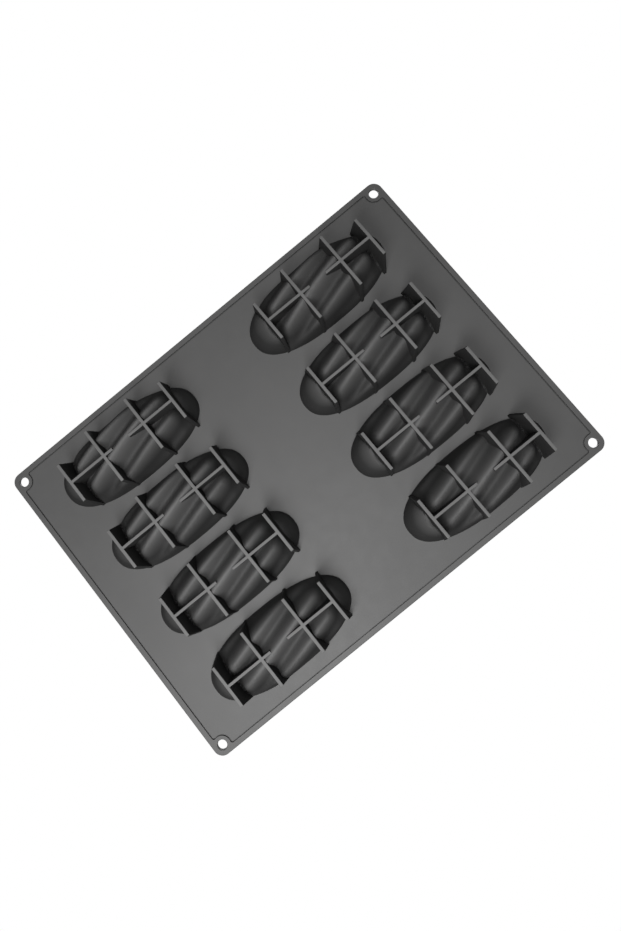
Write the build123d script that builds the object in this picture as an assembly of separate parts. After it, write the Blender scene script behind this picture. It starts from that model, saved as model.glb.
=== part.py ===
from build123d import *

import bisect
import math
import os

# Sheet. Z is 0 on the rib tops that the mould stands on, and the cups open upwards.
SHEET_LENGTH = 400.0
SHEET_WIDTH = 290.0
SHEET_THICKNESS = 2.0
SHEET_CORNER_RADIUS = 8.0
STANDING_HEIGHT = 29.0

# Bead round the edge, with the fine groove just inside it on the underside
BEAD_WIDTH = 4.6
BEAD_PROUD = 0.5
BEAD_ROUNDING = 0.9
GROOVE_WIDTH = 1.0
GROOVE_DEPTH = 0.8
GROOVE_TURN_RADIUS = 2.0

# Corner eyelets
EYELET_INSET = 8.5
EYELET_RADIUS = 7.2
EYELET_BORE = 8.0
EYELET_ROUNDING = 0.5

# Cup layout
COLUMN_SPACING = 200.8
COLUMN_COUNT = 2
ROW_PITCH = 66.5
ROW_COUNT = 4

# Cup shell
CUP_LENGTH = 134.6
CUP_WIDTH = 57.2
CUP_WALL = 1.8
CUP_FLOOR_LIFT = 0.15
OVAL_EXPONENT = 2.35
BELLY_EXPONENT = 2.4

# Twisted folds in the cup floor: wave height, distance between crests, slope and turn of the crest lines
FOLD_HEIGHT = 4.0
FOLD_PITCH = 18.0
FOLD_SLOPE = 0.4
FOLD_TURN = 0.0021
FOLD_CREST_OFFSET = 1.0
FOLD_FADE_POWER = 4

# How finely the cup surfaces are drawn
SURFACE_STEPS_LONG = 60
SURFACE_STEPS_ACROSS = 44
PROFILE_STEPS = 300
SURFACE_TOLERANCE = 0.05
RIM_OVERRUN = 6.0
CORNER_SOFTNESS = 0.35

# Ribs under each cup: places along the cup, then half lengths at the rib tops and at the sheet
CROSS_RIB_PLACES = (-48.3, -14.9, 25.6, 54.8)
CROSS_RIB_THICKNESS = 2.6
LONG_RIB_THICKNESS = 2.3
END_RIB_REACH_TOP = 18.0
END_RIB_REACH_SHEET = 22.8
INNER_RIB_REACH_TOP = 25.0
INNER_RIB_REACH_SHEET = 28.9
WEST_LONG_RIB_END = -6.0
EAST_LONG_RIB_END = 10.2

SHEET_UNDERSIDE = STANDING_HEIGHT
SHEET_TOP = SHEET_UNDERSIDE + SHEET_THICKNESS
BEAD_THICKNESS = SHEET_THICKNESS + 2 * BEAD_PROUD
BEAD_UNDERSIDE = SHEET_UNDERSIDE - BEAD_PROUD


def block(x0, x1, y0, y1, z0, z1):
    """A box between two corners."""
    size = Box(x1 - x0, y1 - y0, z1 - z0)
    return Pos((x0 + x1) / 2, (y0 + y1) / 2, (z0 + z1) / 2) * size


def plate(sketch, bottom, thickness):
    """A flat outline made into a plate standing at a height."""
    return Pos(0, 0, bottom) * extrude(sketch, amount=thickness)


# Cup form

def belly_curve(half_width, depth):
    """The bowl's profile as (share of the rim's width, depth) by distance along the curve from its lowest point."""
    places = []
    for step in range(PROFILE_STEPS + 1):
        turn = math.pi / 2 * step / PROFILE_STEPS
        share = math.sin(turn) ** (2 / BELLY_EXPONENT)
        drop = depth * math.cos(turn) ** (2 / BELLY_EXPONENT)
        places.append((share, drop))
    along = [0.0]
    for before, after in zip(places, places[1:]):
        step_length = math.hypot((after[0] - before[0]) * half_width, after[1] - before[1])
        along.append(along[-1] + step_length)
    return along, places


def belly_at(curve, distance):
    """The share of the rim's width and the depth at a distance along the profile, straight up past the rim."""
    along, places = curve
    if distance >= along[-1]:
        return 1.0, along[-1] - distance
    after = max(1, bisect.bisect_left(along, distance))
    part = (distance - along[after - 1]) / (along[after] - along[after - 1])
    share = places[after - 1][0] + part * (places[after][0] - places[after - 1][0])
    drop = places[after - 1][1] + part * (places[after][1] - places[after - 1][1])
    return share, drop


def oval_stretch(angle):
    """How far the blunt oval stands out from an ellipse in a direction."""
    return (abs(math.cos(angle)) ** OVAL_EXPONENT + abs(math.sin(angle)) ** OVAL_EXPONENT) ** (-1 / OVAL_EXPONENT)


def fold_rise(x, y, share):
    """How far the folds lift the floor: none on a crest, most between crests, fading towards the rim."""
    across = (y + FOLD_SLOPE * x - FOLD_TURN * x * x) / math.hypot(1, FOLD_SLOPE) - FOLD_CREST_OFFSET
    wave = (1 - math.cos(2 * math.pi * across / FOLD_PITCH)) / 2
    return FOLD_HEIGHT * wave * (1 - share ** FOLD_FADE_POWER)


def bowl(length, width, floor):
    """The solid that fills a cup from its folded floor to the sheet's top, cut from a block by the cup's skin."""
    curve = belly_curve(width / 2, SHEET_UNDERSIDE - floor)
    reach = curve[0][-1] + SHEET_THICKNESS + RIM_OVERRUN
    rows = []
    for i in range(SURFACE_STEPS_LONG + 1):
        u = 2 * i / SURFACE_STEPS_LONG - 1
        row = []
        for j in range(SURFACE_STEPS_ACROSS + 1):
            v = 2 * j / SURFACE_STEPS_ACROSS - 1
            disc_x = u * math.sqrt(1 - CORNER_SOFTNESS * v * v)
            disc_y = v * math.sqrt(1 - CORNER_SOFTNESS * u * u)
            angle = math.atan2(disc_y, disc_x)
            share, drop = belly_at(curve, math.hypot(disc_x, disc_y) * reach)
            spread = share * oval_stretch(angle) / 2
            x = length * spread * math.cos(angle)
            y = width * spread * math.sin(angle)
            row.append(Vector(x, y, SHEET_UNDERSIDE - drop + fold_rise(x, y, share)))
        rows.append(row)
    skin = Face.make_surface_from_array_of_points(rows, tol=SURFACE_TOLERANCE, min_deg=3, max_deg=5)
    stock = block(-length, length, -width, width, -SHEET_THICKNESS, SHEET_TOP)
    pieces = split(stock, bisect_by=skin, keep=Keep.ALL).solids()
    return min(pieces, key=lambda piece: piece.volume)


def cup_shell(outside):
    """One cup: the outer bowl hollowed by a smaller one with the same folds."""
    hollow = bowl(CUP_LENGTH - 2 * CUP_WALL, CUP_WIDTH - 2 * CUP_WALL, CUP_FLOOR_LIFT + CUP_WALL)
    return outside - hollow


# Ribs

def cross_rib(place, reach_top, reach_sheet):
    """A rib across the cup, whose ends lean out towards the sheet."""
    outline = make_face(
        Polyline(
            (-reach_top, 0),
            (reach_top, 0),
            (reach_sheet, SHEET_UNDERSIDE),
            (-reach_sheet, SHEET_UNDERSIDE),
            close=True,
        )
    )
    upright = Plane(origin=(place - CROSS_RIB_THICKNESS / 2, 0, 0), x_dir=(0, 1, 0), z_dir=(1, 0, 0))
    return extrude(upright * outline, amount=CROSS_RIB_THICKNESS)


def rib_frame(end_place, inner_place, long_rib_end, outside):
    """Two cross ribs joined by half of the lengthwise rib, trimmed to the cup that they carry."""
    start = min(end_place, long_rib_end)
    stop = max(end_place, long_rib_end)
    half = LONG_RIB_THICKNESS / 2
    frame = cross_rib(end_place, END_RIB_REACH_TOP, END_RIB_REACH_SHEET)
    frame += cross_rib(inner_place, INNER_RIB_REACH_TOP, INNER_RIB_REACH_SHEET)
    frame += block(start, stop, -half, half, 0, SHEET_UNDERSIDE)
    trimmed = frame - outside
    return max(trimmed.solids(), key=lambda piece: piece.volume)


# Sheet, bead and eyelets

def corner_places():
    """The centres of the four corner eyelets."""
    reach_x = SHEET_LENGTH / 2 - EYELET_INSET
    reach_y = SHEET_WIDTH / 2 - EYELET_INSET
    return [(x, y) for x in (-reach_x, reach_x) for y in (-reach_y, reach_y)]


def cup_places():
    """The centres of the cups, the right-hand column first, each from front to back."""
    columns = [COLUMN_SPACING * (0.5 - column) for column in range(COLUMN_COUNT)]
    rows = [ROW_PITCH * (row - (ROW_COUNT - 1) / 2) for row in range(ROW_COUNT)]
    return [(x, y) for x in columns for y in rows]


def sheet_window(discs):
    """The outline of the flat sheet inside the bead, stepping in round each eyelet."""
    outline = Rectangle(SHEET_LENGTH - 2 * BEAD_WIDTH, SHEET_WIDTH - 2 * BEAD_WIDTH) - discs
    return fillet(outline.vertices(), GROOVE_TURN_RADIUS)


def flat_sheet(window, outside):
    """The flat sheet with its eight cup openings and the groove along its edge."""
    sheet = plate(window, SHEET_UNDERSIDE, SHEET_THICKNESS)
    groove = window - offset(window, amount=-GROOVE_WIDTH)
    sheet -= plate(groove, SHEET_UNDERSIDE - GROOVE_DEPTH, 2 * GROOVE_DEPTH)
    for x, y in cup_places():
        sheet -= Pos(x, y, 0) * outside
    return sheet


def edge_bead(window, discs):
    """The bead round the edge, with its outer edges rounded."""
    outline = RectangleRounded(SHEET_LENGTH, SHEET_WIDTH, SHEET_CORNER_RADIUS)
    solid = plate(outline, BEAD_UNDERSIDE, BEAD_THICKNESS)
    rims = solid.edges().filter_by(Axis.Z, reverse=True)
    solid = fillet(rims, BEAD_ROUNDING)
    return solid - plate(window, BEAD_UNDERSIDE, BEAD_THICKNESS) - plate(discs, BEAD_UNDERSIDE, BEAD_THICKNESS)


def eyelet(x, y):
    """One corner eyelet with a softened bore."""
    ring = Cylinder(EYELET_RADIUS, BEAD_THICKNESS) - Cylinder(EYELET_BORE / 2, BEAD_THICKNESS)
    bore_edges = ring.edges().filter_by(GeomType.CIRCLE).sort_by(SortBy.RADIUS)[:2]
    ring = chamfer(bore_edges, EYELET_ROUNDING)
    return Pos(x, y, BEAD_UNDERSIDE + BEAD_THICKNESS / 2) * ring


def main():
    """Builds every piece and writes one file for each."""
    os.makedirs("parts", exist_ok=True)
    outside = bowl(CUP_LENGTH, CUP_WIDTH, CUP_FLOOR_LIFT)
    cup = cup_shell(outside)
    far_west, near_west, near_east, far_east = CROSS_RIB_PLACES
    west_ribs = rib_frame(far_west, near_west, WEST_LONG_RIB_END, outside)
    east_ribs = rib_frame(far_east, near_east, EAST_LONG_RIB_END, outside)

    discs = Sketch() + [Pos(x, y) * Circle(EYELET_RADIUS) for x, y in corner_places()]
    window = sheet_window(discs)
    export_step(flat_sheet(window, outside), "parts/flat_sheet.step")
    export_step(edge_bead(window, discs), "parts/edge_bead.step")
    for number, (x, y) in enumerate(corner_places(), start=1):
        export_step(eyelet(x, y), f"parts/corner_eyelet_{number}.step")
    for number, (x, y) in enumerate(cup_places(), start=1):
        place = Pos(x, y, 0)
        export_step(place * cup, f"parts/cup_{number}.step")
        export_step(place * west_ribs, f"parts/ribs_west_{number}.step")
        export_step(place * east_ribs, f"parts/ribs_east_{number}.step")


main()
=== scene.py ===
"""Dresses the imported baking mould: one dark silicone moulding seen from underneath, standing on its ribs."""

import logging
import math
from dataclasses import dataclass, field
from enum import Enum
from typing import Any

import bpy
from mathutils import Matrix, Vector


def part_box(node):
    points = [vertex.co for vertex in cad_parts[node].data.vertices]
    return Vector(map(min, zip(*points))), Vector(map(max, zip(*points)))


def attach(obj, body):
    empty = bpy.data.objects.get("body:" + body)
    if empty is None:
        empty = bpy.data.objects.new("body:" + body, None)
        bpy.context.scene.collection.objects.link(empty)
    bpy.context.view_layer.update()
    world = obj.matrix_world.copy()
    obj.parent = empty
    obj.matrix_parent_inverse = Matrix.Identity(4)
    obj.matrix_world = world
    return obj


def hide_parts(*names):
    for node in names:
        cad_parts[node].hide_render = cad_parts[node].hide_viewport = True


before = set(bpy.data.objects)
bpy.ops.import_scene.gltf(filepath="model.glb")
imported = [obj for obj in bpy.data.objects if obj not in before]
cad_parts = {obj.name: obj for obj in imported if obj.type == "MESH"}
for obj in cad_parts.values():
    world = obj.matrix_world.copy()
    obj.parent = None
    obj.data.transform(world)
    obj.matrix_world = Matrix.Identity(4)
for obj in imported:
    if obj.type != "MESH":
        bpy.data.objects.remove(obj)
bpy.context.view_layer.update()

LOG = logging.getLogger("mould")
MM = 0.001
WHITE = (1.0, 1.0, 1.0, 1.0)

SHEET_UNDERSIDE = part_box("flat_sheet")[0].z
SHEET_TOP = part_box("flat_sheet")[1].z

# The silicone: its refraction, its faintly warm grey and how far its roughness varies
SILICONE_IOR = 1.41
GREEN_SHARE = 0.995
BLUE_SHARE = 0.99
SMEAR_ROUGHENING = 0.12
GRAIN_ROUGHENING = 0.08
LEAST_ROUGHNESS = 0.25
GRAIN_STRENGTH = 0.6

# Heights above the standing plane: up to the first the silicone gets a painted highlight, over the second it
# grows darker with painted shade
PAINTED_HIGHLIGHT_HEIGHT = 0.35 * MM
PAINTED_SHADE_HEIGHT = 17.0 * MM

# Heights above the sheet's underside that pick out the fine groove, where shade is painted
GROOVE_START = 0.1 * MM
GROOVE_RAMP = 0.3 * MM
GROOVE_MIDDLE = 0.5 * MM
GROOVE_SPREAD = 0.45 * MM


class Maths(Enum):
    """The Math node operations that the finishes use."""

    ADD = "ADD"
    SUBTRACT = "SUBTRACT"
    MULTIPLY = "MULTIPLY"
    DIVIDE = "DIVIDE"
    MINIMUM = "MINIMUM"
    MAXIMUM = "MAXIMUM"
    ABSOLUTE = "ABSOLUTE"


class Region(Enum):
    """The regions of the moulding, by the start of their nodes' names."""

    SHEET = "flat_sheet"
    BEAD = "edge_bead"
    EYELET = "corner_eyelet"


class Shades:
    """A material's node tree, with one way to add any node."""

    def __init__(self, tree: bpy.types.NodeTree) -> None:
        """Starts from an empty tree.

        Args:
            tree: the node tree to fill.
        """
        self.tree = tree
        tree.nodes.clear()

    def add(self, kind: str, settings: dict[str, Any] | None = None, **inputs: Any) -> bpy.types.Node:
        """Adds one node.

        Args:
            kind: the node's type name.
            settings: properties to set before the sockets.
            **inputs: for each socket's name, with underscores for spaces, a number, colour, Value or socket.

        Returns:
            The new node.
        """
        node = self.tree.nodes.new(kind)
        for name, value in (settings or {}).items():
            setattr(node, name, value)
        for name, value in inputs.items():
            self.feed(node.inputs[name.replace("_", " ")], value)
        return node

    def feed(self, socket: bpy.types.NodeSocket, value: Any) -> None:
        """Sets a socket or links it.

        Args:
            socket: the input to fill.
            value: a number, a tuple, a Value or an output socket.
        """
        if isinstance(value, Value):
            value = value.socket
        if isinstance(value, bpy.types.NodeSocket):
            self.tree.links.new(value, socket)
        else:
            socket.default_value = value

    def value(self, node: bpy.types.Node, output: str | int = 0) -> "Value":
        """Wraps one output of a node."""
        return Value(self, node.outputs[output])


class Value:
    """A number in a node tree, on which Python's operators add Math nodes."""

    def __init__(self, shades: Shades, socket: bpy.types.NodeSocket) -> None:
        """Wraps a socket.

        Args:
            shades: the tree that the socket is in.
            socket: the output that carries the number.
        """
        self.shades = shades
        self.socket = socket

    def joined(self, operation: Maths, first: Any, second: Any) -> "Value":
        """Adds a Math node.

        Args:
            operation: what the node works out.
            first: its first number or Value.
            second: its second number or Value.

        Returns:
            The result.
        """
        node = self.shades.add("ShaderNodeMath", {"operation": operation.value})
        self.shades.feed(node.inputs[0], first)
        self.shades.feed(node.inputs[1], second)
        return self.shades.value(node)

    def __add__(self, other: Any) -> "Value":
        """self + other"""
        return self.joined(Maths.ADD, self, other)

    __radd__ = __add__

    def __sub__(self, other: Any) -> "Value":
        """self - other"""
        return self.joined(Maths.SUBTRACT, self, other)

    def __rsub__(self, other: Any) -> "Value":
        """other - self"""
        return self.joined(Maths.SUBTRACT, other, self)

    def __mul__(self, other: Any) -> "Value":
        """self * other"""
        return self.joined(Maths.MULTIPLY, self, other)

    __rmul__ = __mul__

    def __truediv__(self, other: Any) -> "Value":
        """self / other"""
        return self.joined(Maths.DIVIDE, self, other)

    def __rtruediv__(self, other: Any) -> "Value":
        """other / self"""
        return self.joined(Maths.DIVIDE, other, self)

    def __abs__(self) -> "Value":
        """The size of the number."""
        return self.joined(Maths.ABSOLUTE, self, 0.0)

    def kept_between(self, low: float, high: float) -> "Value":
        """The number, held between two limits."""
        return self.joined(Maths.MINIMUM, self.joined(Maths.MAXIMUM, self, low), high)


@dataclass(frozen=True)
class Mottle:
    """One noise pattern over a surface.

    Args:
        scale: how many cells there are in a metre.
        detail: how many finer layers it has.
        weight: how strong the finer layers are.
    """

    scale: float
    detail: float
    weight: float

    def over(self, shades: Shades, place: bpy.types.NodeSocket) -> Value:
        """Adds the pattern to a material.

        Args:
            shades: the tree to add it to.
            place: the coordinates it follows.

        Returns:
            Its strength, around a half.
        """
        node = shades.add(
            "ShaderNodeTexNoise", Vector=place, Scale=self.scale, Detail=self.detail, Roughness=self.weight
        )
        return shades.value(node)


CLOUD = Mottle(scale=18.0, detail=3.0, weight=0.55)
SMEAR = Mottle(scale=95.0, detail=2.0, weight=0.6)


@dataclass(frozen=True)
class SiliconeFinish:
    """Matte silicone as it comes from the mould, with a fine grain, a faint bloom, and painted highlight and
    painted shade by height.

    Args:
        name: the material's name.
        tone: the grey of the silicone, as a linear reflectance.
        roughness: how matte it is.
        painted_highlight_tone: the grey of surfaces next to the standing plane, a painted highlight where it
            is lighter than the tone.
        grain_size: the size of the texture's cells, in metres.
        grain_depth: how deep the texture is, in metres.
        bloom: how much the tone wanders over the sheet, as a share.
        painted_groove_shade: how much darker the fine groove is, as painted shade, as a share.
        painted_depth_shade: how much darker the silicone is up by the sheet, as painted shade deep in the
            pockets and on steep flanks, as a share.
        sheen: the strength of the surface's reflection, where 0.5 is plain silicone.
    """

    name: str
    tone: float
    roughness: float
    painted_highlight_tone: float
    grain_size: float = 0.9 * MM
    grain_depth: float = 0.035 * MM
    bloom: float = 0.10
    painted_groove_shade: float = 0.0
    painted_depth_shade: float = 0.0
    sheen: float = 0.5

    def tone_at(self, height: Value, cloud: Value, smear: Value) -> Value:
        """Works out the grey by height, with a painted highlight next to the standing plane and painted shade
        in the groove and up by the sheet, and by the bloom on the surface.

        Args:
            height: the height above the standing plane.
            cloud: the wide pattern of the bloom.
            smear: its finer pattern.

        Returns:
            The grey, as a linear reflectance.
        """
        # Painted highlight: surfaces next to the standing plane take the lighter top grey
        painted_highlight = (1.0 - height / PAINTED_HIGHLIGHT_HEIGHT).kept_between(0.0, 1.0)
        wander = 1.0 + (cloud - 0.5) * (2.0 * self.bloom) + (smear - 0.5) * self.bloom
        # Painted shade in the fine groove by the sheet's underside
        deep = ((height - (SHEET_UNDERSIDE + GROOVE_START)) / GROOVE_RAMP).kept_between(0.0, 1.0)
        off_middle = abs(height - (SHEET_UNDERSIDE + GROOVE_MIDDLE))
        groove_shade_mask = deep * (1.0 - off_middle / GROOVE_SPREAD).kept_between(0.0, 1.0)
        # Painted shade: the silicone grows darker up towards the sheet, in the pockets and on the steep flanks
        depth_shade_mask = (height / PAINTED_SHADE_HEIGHT).kept_between(0.0, 1.0)
        tone = (self.tone + painted_highlight * (self.painted_highlight_tone - self.tone)) * wander
        return tone * (1.0 - self.painted_groove_shade * groove_shade_mask) * (1.0 - self.painted_depth_shade * depth_shade_mask)

    def make(self) -> bpy.types.Material:
        """Builds the material.

        Returns:
            A new material.
        """
        material = bpy.data.materials.new(self.name)
        material.use_nodes = True
        shades = Shades(material.node_tree)
        place = shades.add("ShaderNodeTexCoord").outputs["Object"]
        height = shades.value(shades.add("ShaderNodeSeparateXYZ", Vector=place), "Z")
        smear = SMEAR.over(shades, place)
        grain = Mottle(scale=1.0 / self.grain_size, detail=2.0, weight=0.5).over(shades, place)
        tone = self.tone_at(height, CLOUD.over(shades, place), smear)
        colour = shades.add(
            "ShaderNodeCombineColor", Red=tone, Green=tone * GREEN_SHARE, Blue=tone * BLUE_SHARE
        )
        matte = self.roughness + (smear - 0.5) * SMEAR_ROUGHENING + (grain - 0.5) * GRAIN_ROUGHENING
        bump = shades.add("ShaderNodeBump", Strength=GRAIN_STRENGTH, Distance=self.grain_depth, Height=grain)
        skin = shades.add(
            "ShaderNodeBsdfPrincipled",
            Base_Color=colour.outputs[0],
            Roughness=matte.kept_between(LEAST_ROUGHNESS, 1.0),
            IOR=SILICONE_IOR,
            Specular_IOR_Level=self.sheen,
            Normal=bump.outputs[0],
        )
        shades.add("ShaderNodeOutputMaterial", Surface=skin.outputs[0])
        return material


@dataclass
class Regions:
    """The nodes of one region of the moulding and the finish they take."""

    region: Region
    finish: SiliconeFinish

    def nodes(self) -> list[bpy.types.Object]:
        """The region's CAD nodes, by name."""
        return [node for name, node in sorted(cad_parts.items()) if name.startswith(self.region.value)]

    def dress(self) -> int:
        """Puts the finish on every node.

        Returns:
            How many nodes were dressed.
        """
        material = self.finish.make()
        for node in self.nodes():
            node.data.materials.clear()
            node.data.materials.append(material)
        return len(self.nodes())


def bare_object(name: str) -> bpy.types.Object:
    """Names the active object and puts its place into its mesh.

    Args:
        name: the new name.

    Returns:
        The active object, at the origin.
    """
    piece = bpy.context.object
    piece.name = name
    piece.data.name = name
    bpy.ops.object.transform_apply(location=True, rotation=True, scale=True)
    return piece


def select_only(piece: bpy.types.Object) -> None:
    """Selects one object and makes it active."""
    bpy.ops.object.select_all(action="DESELECT")
    piece.select_set(True)
    bpy.context.view_layer.objects.active = piece


def apply_modifier(piece: bpy.types.Object, kind: str, **settings: Any) -> None:
    """Adds a modifier and applies it.

    Args:
        piece: the object to shape.
        kind: the modifier's type.
        **settings: its properties.
    """
    select_only(piece)
    modifier = piece.modifiers.new(kind.lower(), kind)
    for name, value in settings.items():
        setattr(modifier, name, value)
    bpy.ops.object.modifier_apply(modifier=modifier.name)


def placed_copy(pattern: bpy.types.Object, name: str, place: Vector) -> bpy.types.Object:
    """Copies a piece with its own mesh, moved to a place.

    Args:
        pattern: the piece to copy.
        name: the copy's name.
        place: how far the copy's mesh is moved.

    Returns:
        The copy, at the origin.
    """
    mesh = pattern.data.copy()
    mesh.name = name
    mesh.transform(Matrix.Translation(place))
    piece = bpy.data.objects.new(name, mesh)
    bpy.context.scene.collection.objects.link(piece)
    return piece


def share_of(whole: float, part: float) -> float:
    """How much of a length another one is, between 0 and 1."""
    return min(max(part / whole, 0.0), 1.0)


def cup_centre(number: int) -> Vector:
    """The place of a cup's centre on the standing plane."""
    low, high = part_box(f"cup_{number}")
    return Vector(((low.x + high.x) / 2, (low.y + high.y) / 2, 0.0))


CENTRE_REACH = 1e-6


@dataclass(frozen=True)
class Cup:
    """The folded cup: a blunt oval bowl with deep diagonal folds and a smooth cap at each end.

    Lengths are in metres. Along runs from the cup's middle towards +X, and across towards +Y.

    Args:
        half_length: half of the rim's length.
        half_width: half of the rim's width.
        wall: the thickness of the wall.
        floor_lift: how far the lowest ridge stays above the standing plane.
        oval_exponent: how blunt the oval is, where 2 is an ellipse.
        rings: how many rings of faces there are from the middle to the rim.
        fold_share: how much of the depth a fold's valley takes.
        fold_slope: how far the folds lean across the cup for each length along it.
        fold_pitch: the distance between ridges, across the cup.
        fold_start: how far the middle ridge is from the cup's middle.
        fold_ends: where the folds have run out, along the cup.
        fold_fade: over what length they run out.
        groove_places: where the end grooves are, along the cup.
        groove_share: how much of the depth a groove takes.
        groove_widths: how wide a groove is towards the middle and towards the end.
        sink: how far the ribs reach into the wall.
        smooth_angle: the sharpest edge that is shaded smooth.
    """

    half_length: float = 67.3 * MM
    half_width: float = 28.6 * MM
    wall: float = 1.8 * MM
    floor_lift: float = 0.15 * MM
    oval_exponent: float = 2.35
    rings: int = 44
    fold_share: float = 0.40
    fold_slope: float = 0.28
    fold_pitch: float = 20.0 * MM
    fold_start: float = 0.5 * MM
    fold_ends: tuple[float, float] = (-52.0 * MM, 58.0 * MM)
    fold_fade: float = 9.0 * MM
    groove_places: tuple[float, float] = (-47.0 * MM, 53.0 * MM)
    groove_share: float = 0.60
    groove_widths: tuple[float, float] = (10.0 * MM, 3.5 * MM)
    sink: float = 0.7 * MM
    smooth_angle: float = math.radians(50.0)

    def stretch(self, angle: float) -> float:
        """How far the blunt oval stands out from an ellipse in a direction."""
        power = self.oval_exponent
        return (abs(math.cos(angle)) ** power + abs(math.sin(angle)) ** power) ** (-1.0 / power)

    def depth_share(self, along: float, across: float) -> float:
        """How much of the plain bowl's depth the folds and end grooves leave.

        Args:
            along: the place along the cup.
            across: the place across it.

        Returns:
            A share between 0 and 1.
        """
        turns = (across + self.fold_slope * along - self.fold_start) / self.fold_pitch
        valley = (1.0 - math.cos(2.0 * math.pi * turns)) / 2.0
        low, high = self.fold_ends
        window = share_of(self.fold_fade, along - low) * share_of(self.fold_fade, high - along)
        left = 1.0 - self.fold_share * valley * window
        for place in self.groove_places:
            inside, outside = self.groove_widths
            width = inside if abs(along) < abs(place) else outside
            left *= 1.0 - self.groove_share * max(1.0 - abs(along - place) / width, 0.0) ** 2
        return min(left, 1.0)

    def skin_point(self, u: float, v: float) -> Vector:
        """The place on the outer skin of one point of a flat square grid.

        Args:
            u: the grid's first coordinate, from -1 to 1.
            v: the grid's second coordinate, from -1 to 1.

        Returns:
            The point. The outermost ring is the rim, and the next one lies on the sheet's underside.
        """
        reach = max(abs(u), abs(v))
        if reach < CENTRE_REACH:
            angle = 0.0
        elif abs(u) >= abs(v):
            angle = math.pi / 4 * v / u + (math.pi if u < 0 else 0.0)
        else:
            angle = math.pi / 2 - math.pi / 4 * u / v + (math.pi if v < 0 else 0.0)
        ring = reach * self.rings
        turn = min(ring / (self.rings - 1), 1.0) * math.pi / 2
        spread = math.sin(turn) * self.stretch(angle)
        along = self.half_length * spread * math.cos(angle)
        across = self.half_width * spread * math.sin(angle)
        depth = (SHEET_UNDERSIDE - self.floor_lift) * math.cos(turn) * self.depth_share(along, across)
        rise = SHEET_TOP - SHEET_UNDERSIDE if ring > self.rings - 0.5 else 0.0
        return Vector((along, across, SHEET_UNDERSIDE - depth + rise))

    def skin(self, name: str) -> bpy.types.Object:
        """Shapes a flat grid into the cup's outer skin.

        Args:
            name: the skin's name.

        Returns:
            The open skin, with its faces turned outwards.
        """
        bpy.ops.object.select_all(action="DESELECT")
        cells = 2 * self.rings
        bpy.ops.mesh.primitive_grid_add(x_subdivisions=cells, y_subdivisions=cells, size=2.0)
        skin = bare_object(name)
        for vertex in skin.data.vertices:
            vertex.co = self.skin_point(vertex.co.x, vertex.co.y)
        skin.data.update()
        select_only(skin)
        bpy.ops.object.mode_set(mode="EDIT")
        bpy.ops.mesh.select_all(action="SELECT")
        bpy.ops.mesh.flip_normals()
        bpy.ops.object.mode_set(mode="OBJECT")
        return skin

    def shell(self) -> bpy.types.Object:
        """Gives the skin its wall, inwards.

        Returns:
            The closed cup.
        """
        cup = self.skin("cup_pattern")
        apply_modifier(cup, "SOLIDIFY", thickness=self.wall, offset=-1.0)
        bpy.ops.object.shade_smooth_by_angle(angle=self.smooth_angle)
        return cup

    def trimmer(self) -> bpy.types.Object:
        """Closes a second skin, sunk a little into the wall, that trims the ribs.

        Returns:
            The closed body.
        """
        body = self.skin("rib_trimmer")
        body.data.transform(Matrix.Translation((0.0, 0.0, self.sink)))
        select_only(body)
        bpy.ops.object.mode_set(mode="EDIT")
        bpy.ops.mesh.select_mode(type="EDGE")
        bpy.ops.mesh.select_all(action="DESELECT")
        bpy.ops.mesh.select_non_manifold()
        bpy.ops.mesh.edge_face_add()
        bpy.ops.mesh.select_mode(type="VERT")
        bpy.ops.mesh.select_all(action="SELECT")
        bpy.ops.mesh.normals_make_consistent(inside=False)
        bpy.ops.object.mode_set(mode="OBJECT")
        return body


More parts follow.
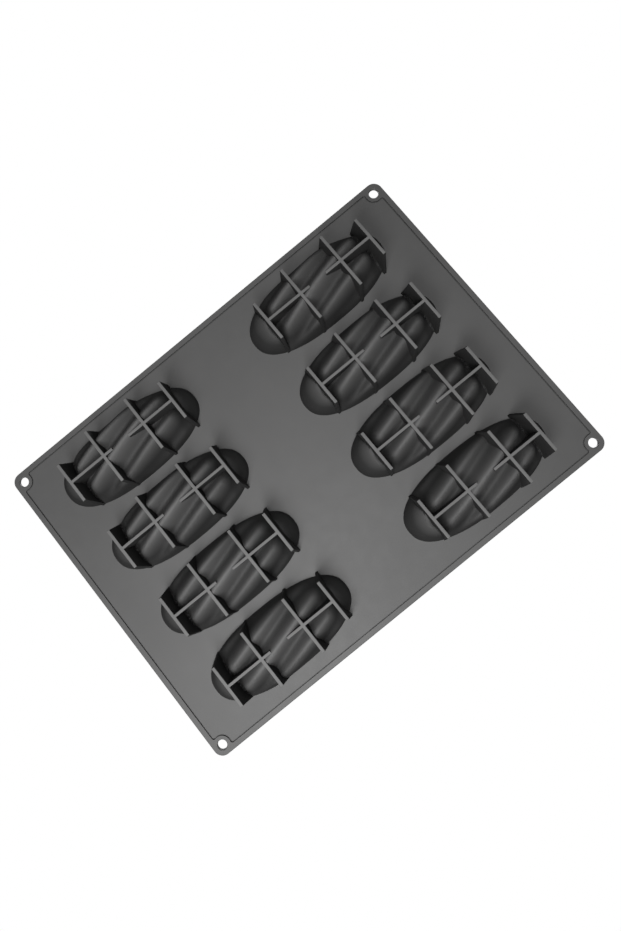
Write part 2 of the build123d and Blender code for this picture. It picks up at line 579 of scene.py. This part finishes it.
@dataclass(frozen=True)
class RibFrame:
    """Half of the ribs under a cup: an end rib, an inner rib and the lengthwise rib that joins them.

    Lengths are in metres. A reach is half of a cross rib's length, on the standing plane and at the sheet.

    Args:
        name: the frame's name.
        end_place: where the end rib stands, along the cup.
        inner_place: where the inner rib stands.
        long_end: where the lengthwise rib stops, in the middle of the cup.
        end_reach: the end rib's reach.
        inner_reach: the inner rib's reach.
        cross_thickness: the thickness of the cross ribs.
        long_thickness: the thickness of the lengthwise rib.
        rounding: how far the ribs' edges are softened.
        set_in: how far the ribs reach into the sheet.
        smooth_angle: the sharpest edge that is shaded smooth.
    """

    name: str
    end_place: float
    inner_place: float
    long_end: float
    end_reach: tuple[float, float] = (18.0 * MM, 22.8 * MM)
    inner_reach: tuple[float, float] = (25.0 * MM, 28.9 * MM)
    cross_thickness: float = 2.6 * MM
    long_thickness: float = 2.3 * MM
    rounding: float = 0.3 * MM
    set_in: float = 0.6 * MM
    smooth_angle: float = math.radians(35.0)

    def slab(self, name: str, low: Vector, high: Vector, widening: float) -> bpy.types.Object:
        """Makes one rib with softened edges.

        Args:
            name: the rib's name.
            low: its lowest corner.
            high: its highest corner.
            widening: its length across the cup at the sheet, as a share of that on the standing plane.

        Returns:
            The rib.
        """
        bpy.ops.object.select_all(action="DESELECT")
        bpy.ops.mesh.primitive_cube_add(size=1.0, location=(low + high) / 2, scale=high - low)
        rib = bare_object(name)
        for vertex in rib.data.vertices:
            if vertex.co.z > high.z / 2:
                vertex.co.y *= widening
        apply_modifier(rib, "BEVEL", width=self.rounding, segments=2, limit_method="ANGLE")
        return rib

    def cross_rib(self, name: str, place: float, reach: tuple[float, float]) -> bpy.types.Object:
        """A rib across the cup, whose ends lean out towards the sheet."""
        half = self.cross_thickness / 2
        low = Vector((place - half, -reach[0], 0.0))
        high = Vector((place + half, reach[0], SHEET_UNDERSIDE + self.set_in))
        return self.slab(name, low, high, reach[1] / reach[0])

    def build(self, trimmer: bpy.types.Object) -> bpy.types.Object:
        """Joins the ribs and trims them to the cup.

        Args:
            trimmer: the closed body of the cup.

        Returns:
            The rib frame under a cup at the origin.
        """
        frame_piece = self.cross_rib(self.name, self.end_place, self.end_reach)
        inner = self.cross_rib("inner_rib", self.inner_place, self.inner_reach)
        half = self.long_thickness / 2
        ends = sorted((self.end_place, self.long_end))
        low = Vector((ends[0], -half, 0.0))
        high = Vector((ends[1], half, SHEET_UNDERSIDE + self.set_in))
        lengthwise = self.slab("long_rib", low, high, 1.0)
        for tool, operation in ((inner, "UNION"), (lengthwise, "UNION"), (trimmer, "DIFFERENCE")):
            apply_modifier(frame_piece, "BOOLEAN", operation=operation, object=tool, solver="EXACT")
        bpy.data.objects.remove(inner)
        bpy.data.objects.remove(lengthwise)
        select_only(frame_piece)
        bpy.ops.object.shade_smooth_by_angle(angle=self.smooth_angle)
        return frame_piece


WEST_FRAME = RibFrame("ribs_west", end_place=-48.3 * MM, inner_place=-14.9 * MM, long_end=-6.0 * MM)
EAST_FRAME = RibFrame("ribs_east", end_place=54.8 * MM, inner_place=25.6 * MM, long_end=10.2 * MM)
CUP_COUNT = 8


@dataclass(frozen=True)
class CupRow:
    """The eight cups with their ribs, each modelled once and copied."""

    cup: Cup
    frames: tuple[RibFrame, ...]
    cup_finish: SiliconeFinish
    shaded_rib_finish: SiliconeFinish

    def place(self, pattern: bpy.types.Object, stem: str, slot: str, finish: bpy.types.Material) -> None:
        """Copies a pattern to every cup and lets each copy stand for its node.

        Args:
            pattern: the piece under or at a cup at the origin.
            stem: the start of the nodes' names.
            slot: not used.
            finish: the material.
        """
        pattern.data.materials.clear()
        pattern.data.materials.append(finish)
        for number in range(1, CUP_COUNT + 1):
            node = f"{stem}_{number}"
            piece = placed_copy(pattern, f"{node}_dressed", cup_centre(number))
            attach(piece, "root")
            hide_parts(node)
        bpy.data.objects.remove(pattern)
        LOG.info("%s: %d copies", stem, CUP_COUNT)

    def build(self) -> None:
        """Builds the cups and their ribs."""
        trimmer = self.cup.trimmer()
        shaded_rib_material = self.shaded_rib_finish.make()
        for rib_frame in self.frames:
            self.place(rib_frame.build(trimmer), rib_frame.name, "rib", shaded_rib_material)
        bpy.data.objects.remove(trimmer)
        self.place(self.cup.shell(), "cup", "cup", self.cup_finish.make())


@dataclass(frozen=True)
class Lamp:
    """One soft square lamp that the camera doesn't see.

    Args:
        name: the lamp's name.
        place: where it stands, in metres.
        aim: the point it faces, in metres.
        size: the length of its side, in metres.
        power: its power in watts.
    """

    name: str
    place: tuple[float, float, float]
    aim: tuple[float, float, float]
    size: float
    power: float

    def hang(self) -> None:
        """Adds the lamp to the scene."""
        data = bpy.data.lights.new(self.name, "AREA")
        data.size = self.size
        data.energy = self.power
        lamp = bpy.data.objects.new(self.name, data)
        bpy.context.scene.collection.objects.link(lamp)
        lamp.location = self.place
        facing = Vector(self.place) - Vector(self.aim)
        lamp.rotation_euler = facing.to_track_quat("Z", "Y").to_euler()
        lamp.visible_camera = False


LAMPS = (
    Lamp("key_below", place=(-0.06, 0.10, -1.50), aim=(0.0, 0.0, 0.03), size=0.5, power=13.5),
    Lamp("sheen_below", place=(-0.26, 0.26, -0.50), aim=(-0.10, 0.12, 0.03), size=0.30, power=3.0),
    Lamp("key_above", place=(0.6, -0.7, 1.2), aim=(0.0, 0.0, 0.0), size=0.9, power=22.0),
    Lamp("fill_above", place=(-0.8, 0.5, 1.1), aim=(0.0, 0.0, 0.0), size=1.2, power=12.0),
)


@dataclass
class Studio:
    """The pale room: a floor seen only from above, soft lamps over and under it, and the camera underneath.

    The camera's place, aim and lens are fitted to the photograph's corners and rib crossings.

    Args:
        camera_place: where the camera stands, in metres.
        camera_aim: the point it looks at.
        camera_up: the direction that is up in the picture.
        lens: the camera's focal length, in millimetres.
        sensor: the width of its sensor, in millimetres.
        clip_start: the nearest distance that it sees, in metres.
        floor_size: the length of the floor's side, in metres.
        floor_drop: how far the floor is under the ribs, in metres.
        floor_tone: the grey of the floor's paper.
        white_from: how far from the middle the paper starts to turn plain white, and where it has, in metres.
        world_light: the strength of the soft light from all round.
        lamps: the lamps under and over the mould.
    """

    camera_place: Vector = field(default_factory=lambda: Vector((10.58, 44.43, -401.08)) * MM)
    camera_aim: Vector = field(default_factory=lambda: Vector((5.98, 9.76, 0.0)) * MM)
    camera_up: Vector = field(default_factory=lambda: Vector((0.63398, -0.77107, -0.05938)))
    lens: float = 30.458
    sensor: float = 36.0
    clip_start: float = 0.01
    floor_size: float = 6.0
    floor_drop: float = 0.4 * MM
    floor_tone: float = 0.86
    white_from: tuple[float, float] = (0.35, 0.75)
    world_light: float = 0.04
    lamps: tuple[Lamp, ...] = LAMPS

    def camera(self) -> None:
        """Adds the camera that takes the photograph's view."""
        data = bpy.data.cameras.new("camera")
        data.sensor_fit = "HORIZONTAL"
        data.sensor_width = self.sensor
        data.lens = self.lens
        data.clip_start = self.clip_start
        eye = bpy.data.objects.new("camera", data)
        bpy.context.scene.collection.objects.link(eye)
        back = (self.camera_place - self.camera_aim).normalized()
        right = self.camera_up.cross(back).normalized()
        up = back.cross(right)
        turn = Matrix((right, up, back)).transposed().to_4x4()
        eye.matrix_world = Matrix.Translation(self.camera_place) @ turn
        bpy.context.scene.camera = eye

    def world(self) -> None:
        """White to the camera, a plain soft light to everything else."""
        world = bpy.data.worlds.new("room")
        world.use_nodes = True
        bpy.context.scene.world = world
        shades = Shades(world.node_tree)
        seen = shades.value(shades.add("ShaderNodeLightPath"), "Is Camera Ray")
        light = seen * (1.0 - self.world_light) + self.world_light
        glow = shades.add("ShaderNodeBackground", Color=WHITE, Strength=light)
        shades.add("ShaderNodeOutputWorld", Surface=glow.outputs[0])

    def floor(self) -> None:
        """Adds the floor, which lets the camera look up through it and blocks no light."""
        bpy.ops.object.select_all(action="DESELECT")
        bpy.ops.mesh.primitive_plane_add(size=self.floor_size, location=(0.0, 0.0, -self.floor_drop))
        plane = bpy.context.object
        plane.name = "floor"
        material = bpy.data.materials.new("floor_paper")
        material.use_nodes = True
        shades = Shades(material.node_tree)
        behind = shades.value(shades.add("ShaderNodeNewGeometry"), "Backfacing")
        paper = shades.add("ShaderNodeBsdfDiffuse", Color=(self.floor_tone,) * 3 + (1.0,))
        clear = shades.add("ShaderNodeBsdfTransparent")
        white = shades.add("ShaderNodeEmission", Color=WHITE, Strength=1.0)
        place = shades.add("ShaderNodeTexCoord").outputs["Object"]
        distance = shades.add("ShaderNodeVectorMath", {"operation": "LENGTH"}, Vector=place)
        start, stop = self.white_from
        far = ((shades.value(distance, "Value") - start) / (stop - start)).kept_between(0.0, 1.0)
        lit = shades.add("ShaderNodeMixShader", Fac=far)
        shades.feed(lit.inputs[1], paper.outputs[0])
        shades.feed(lit.inputs[2], white.outputs[0])
        mix = shades.add("ShaderNodeMixShader", Fac=behind)
        shades.feed(mix.inputs[1], lit.outputs[0])
        shades.feed(mix.inputs[2], clear.outputs[0])
        shades.add("ShaderNodeOutputMaterial", Surface=mix.outputs[0])
        plane.data.materials.append(material)
        plane.visible_diffuse = False
        plane.visible_glossy = False
        plane.visible_shadow = False

    def build(self) -> None:
        """Sets up the whole room."""
        bpy.context.scene.view_settings.view_transform = "Standard"
        self.camera()
        self.world()
        self.floor()
        for lamp in self.lamps:
            lamp.hang()


# The sheet, bead and eyelets, with painted shade in the fine groove
SHEET_SILICONE = SiliconeFinish("sheet_silicone", tone=0.088, roughness=0.56, painted_highlight_tone=0.088, painted_groove_shade=0.85)
# The cups, with painted shade that darkens them up towards the sheet
CUP_SILICONE = SiliconeFinish(
    "cup_silicone", tone=0.115, roughness=0.66, painted_highlight_tone=0.115, bloom=0.08, painted_depth_shade=0.80, sheen=0.35
)
# The ribs: a darker copy of the same silicone, painted shade on their sides, with a painted highlight on their
# tops
SHADED_RIB_SILICONE = SiliconeFinish("rib_silicone_painted_shade", tone=0.028, roughness=0.70, painted_highlight_tone=0.145, sheen=0.3)


def dress_mould() -> None:
    """Dresses the sheet, its bead and its eyelets."""
    for region in Region:
        count = Regions(region, SHEET_SILICONE).dress()
        LOG.info("%s: %d nodes dressed in %s", region.name, count, SHEET_SILICONE.name)


def main() -> None:
    """Builds and dresses everything in order."""
    logging.basicConfig(level=logging.INFO, format="%(name)s: %(message)s")
    dress_mould()
    CupRow(Cup(), (WEST_FRAME, EAST_FRAME), CUP_SILICONE, SHADED_RIB_SILICONE).build()
    Studio().build()


if __name__ == "__main__":
    main()
